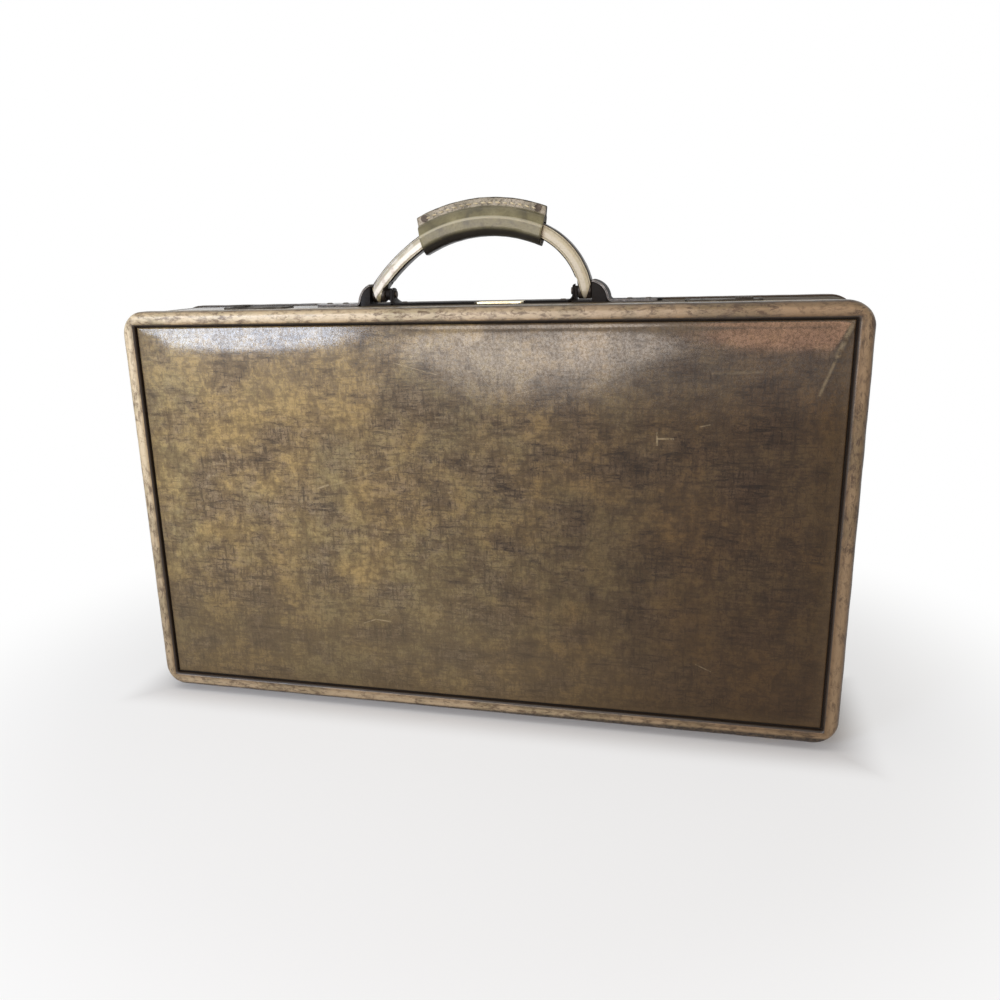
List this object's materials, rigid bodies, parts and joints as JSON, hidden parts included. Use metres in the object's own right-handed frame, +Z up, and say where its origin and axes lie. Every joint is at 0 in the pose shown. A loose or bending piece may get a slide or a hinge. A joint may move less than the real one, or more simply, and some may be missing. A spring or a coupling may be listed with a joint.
{
  "type": "briefcase",
  "caption": "Hard-sided leather attache case with rolled bindings, sewn handle on pivots, full-length hinge, slotted lid stays and two slide-bolt locks.",
  "frame": {"origin": "centre of the bounding box's underside, on the surface the feet stand on", "axes": "+X along the width, +Y from the lid through to the back, +Z up towards the handle"},
  "size_m": [0.457, 0.086, 0.3316],
  "materials": {
    "panel_leather": "worn, mottled olive-brown, waxed",
    "binding_leather": "rolled edge, pale and scuffed",
    "wall_leather": "dark, worn",
    "board": "pressed board",
    "wood": "bare plywood",
    "lining": "napped lining",
    "pocket_leather": "smooth, stitched",
    "rim_metal": "satin, tarnished",
    "hinge_metal": "satin, tarnished",
    "steel": "satin",
    "brass": "polished, worn",
    "mount_leather": "dark, edges worn grey",
    "handle_leather": "glossy with wear",
    "grip_leather": "olive-brown, stitched, worn edges",
    "dark_rivet": "blackened"
  },
  "bodies": {
    "base": {"base_panel": "panel_leather", "base_binding": "binding_leather", "base_board": "board", "base_walls": "wood", "base_skin": "wall_leather", "base_lining": "lining", "base_rim": "rim_metal", "hinge_leaf_base": "hinge_metal", "hinge_pin": "steel", "hinge_rivets_base": "hinge_metal", "lock_plate_left": "brass", "lock_plate_right": "brass", "lock_case_left": "steel", "lock_case_right": "steel", "lock_rivets": "brass", "blank_plate": "brass", "handle_mount_left": "mount_leather", "handle_mount_right": "mount_leather", "mount_rivets": "brass", "handle_pins": "steel", "feet_base": "brass", "stay_brackets_base": "rim_metal"},
    "lid": {"lid_panel": "panel_leather", "lid_binding": "binding_leather", "lid_board": "board", "lid_walls": "wood", "lid_skin": "wall_leather", "lid_lining": "lining", "lid_pocket": "pocket_leather", "lid_rim": "rim_metal", "hinge_leaf_lid": "hinge_metal", "hinge_rivets_lid": "hinge_metal", "lock_staple_left": "steel", "lock_staple_right": "steel", "feet_lid": "brass", "stay_brackets_lid": "rim_metal"},
    "handle": {"handle_core": "handle_leather", "handle_grip": "grip_leather", "handle_bushes": "brass", "grip_rivets": "dark_rivet"},
    "lock_bolt_left": {"lock_bolt_left": "brass"},
    "lock_bolt_right": {"lock_bolt_right": "brass"},
    "stay_left": {"stay_left": "rim_metal"},
    "stay_right": {"stay_right": "rim_metal"}
  },
  "joints": [
    {"name": "lid_hinge", "type": "hinge", "parent": "base", "child": "lid", "pos_m": [0, -0.011, 0.0052], "axis": [1, 0, 0], "range_deg": [0, 100]},
    {"name": "handle_swing", "type": "hinge", "parent": "base", "child": "handle", "pos_m": [0, 0.016, 0.2736], "axis": [1, 0, 0], "range_deg": [-82, 82]},
    {"name": "lock_slide_left", "type": "slide", "parent": "base", "child": "lock_bolt_left", "axis": [1, 0, 0], "range_m": [0, 0.007]},
    {"name": "lock_slide_right", "type": "slide", "parent": "base", "child": "lock_bolt_right", "axis": [-1, 0, 0], "range_m": [0, 0.007]},
    {"name": "stay_turn_left", "type": "hinge", "parent": "lid", "child": "stay_left", "pos_m": [-0.2135, -0.0205, 0.02994], "axis": [1, 0, 0], "range_deg": [-50, 0]},
    {"name": "stay_turn_right", "type": "hinge", "parent": "lid", "child": "stay_right", "pos_m": [0.2135, -0.0205, 0.02994], "axis": [1, 0, 0], "range_deg": [-50, 0]}
  ],
  "couplings": [
    {"joint": "stay_turn_left", "follows": "lid_hinge", "ratio": -0.5},
    {"joint": "stay_turn_right", "follows": "lid_hinge", "ratio": -0.5}
  ]
}
